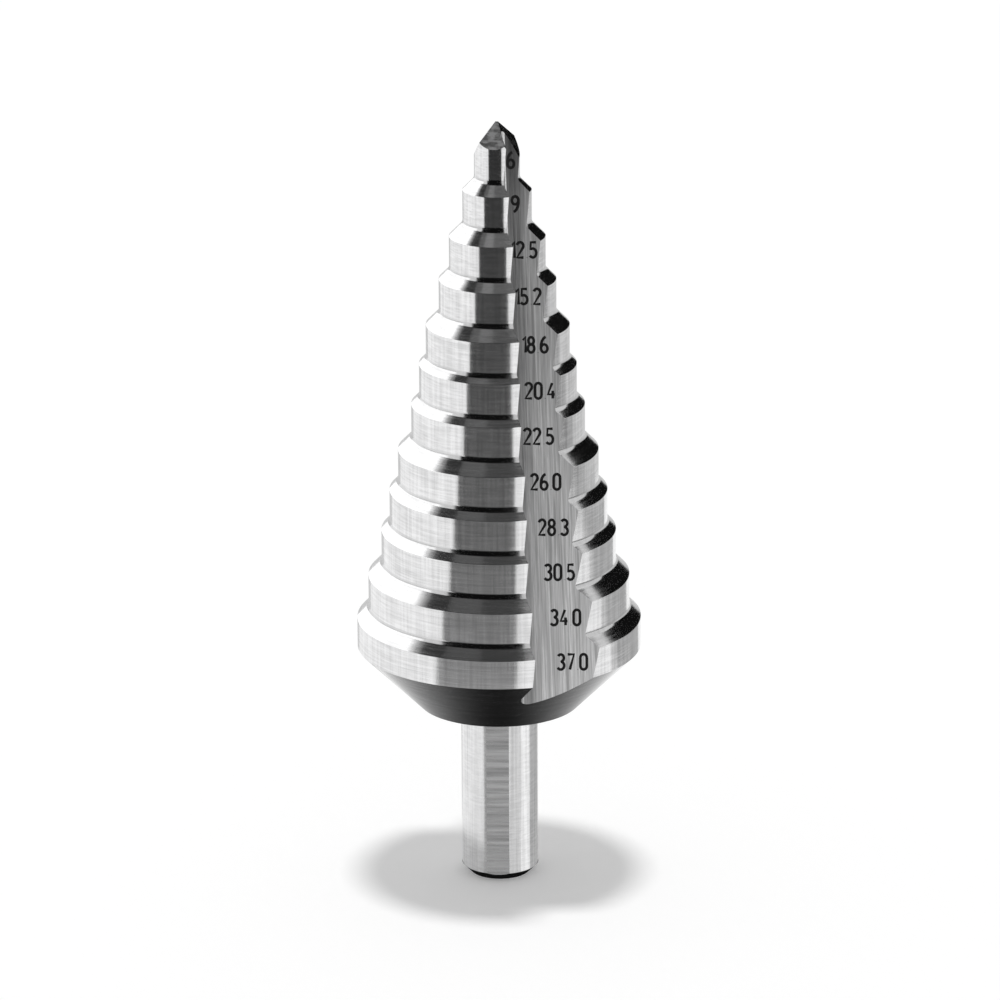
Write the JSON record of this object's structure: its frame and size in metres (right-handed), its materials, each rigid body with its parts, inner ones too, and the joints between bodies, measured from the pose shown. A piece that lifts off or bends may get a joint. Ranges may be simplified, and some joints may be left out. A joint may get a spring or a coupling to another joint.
{
  "type": "step drill",
  "caption": "Cone-shaped metal drill bit with a stack of stepped diameters, straight V flutes, a pyramid point, a chamfered back and a plain shank with flats for a chuck.",
  "frame": {"origin": "centre of the flat end of the shank, which is the drill's axis at its lowest face", "axes": "+Z along the axis from the end of the shank to the point; -Y faces the camera of the picture, with the front flute just to the right of it; +X to the right"},
  "size_m": [0.0368, 0.037, 0.1012],
  "materials": {
    "tool_steel": "bright ground tool steel, fine grinding lines"
  },
  "bodies": {
    "root": {"step_drill": "tool_steel"}
  },
  "joints": []
}
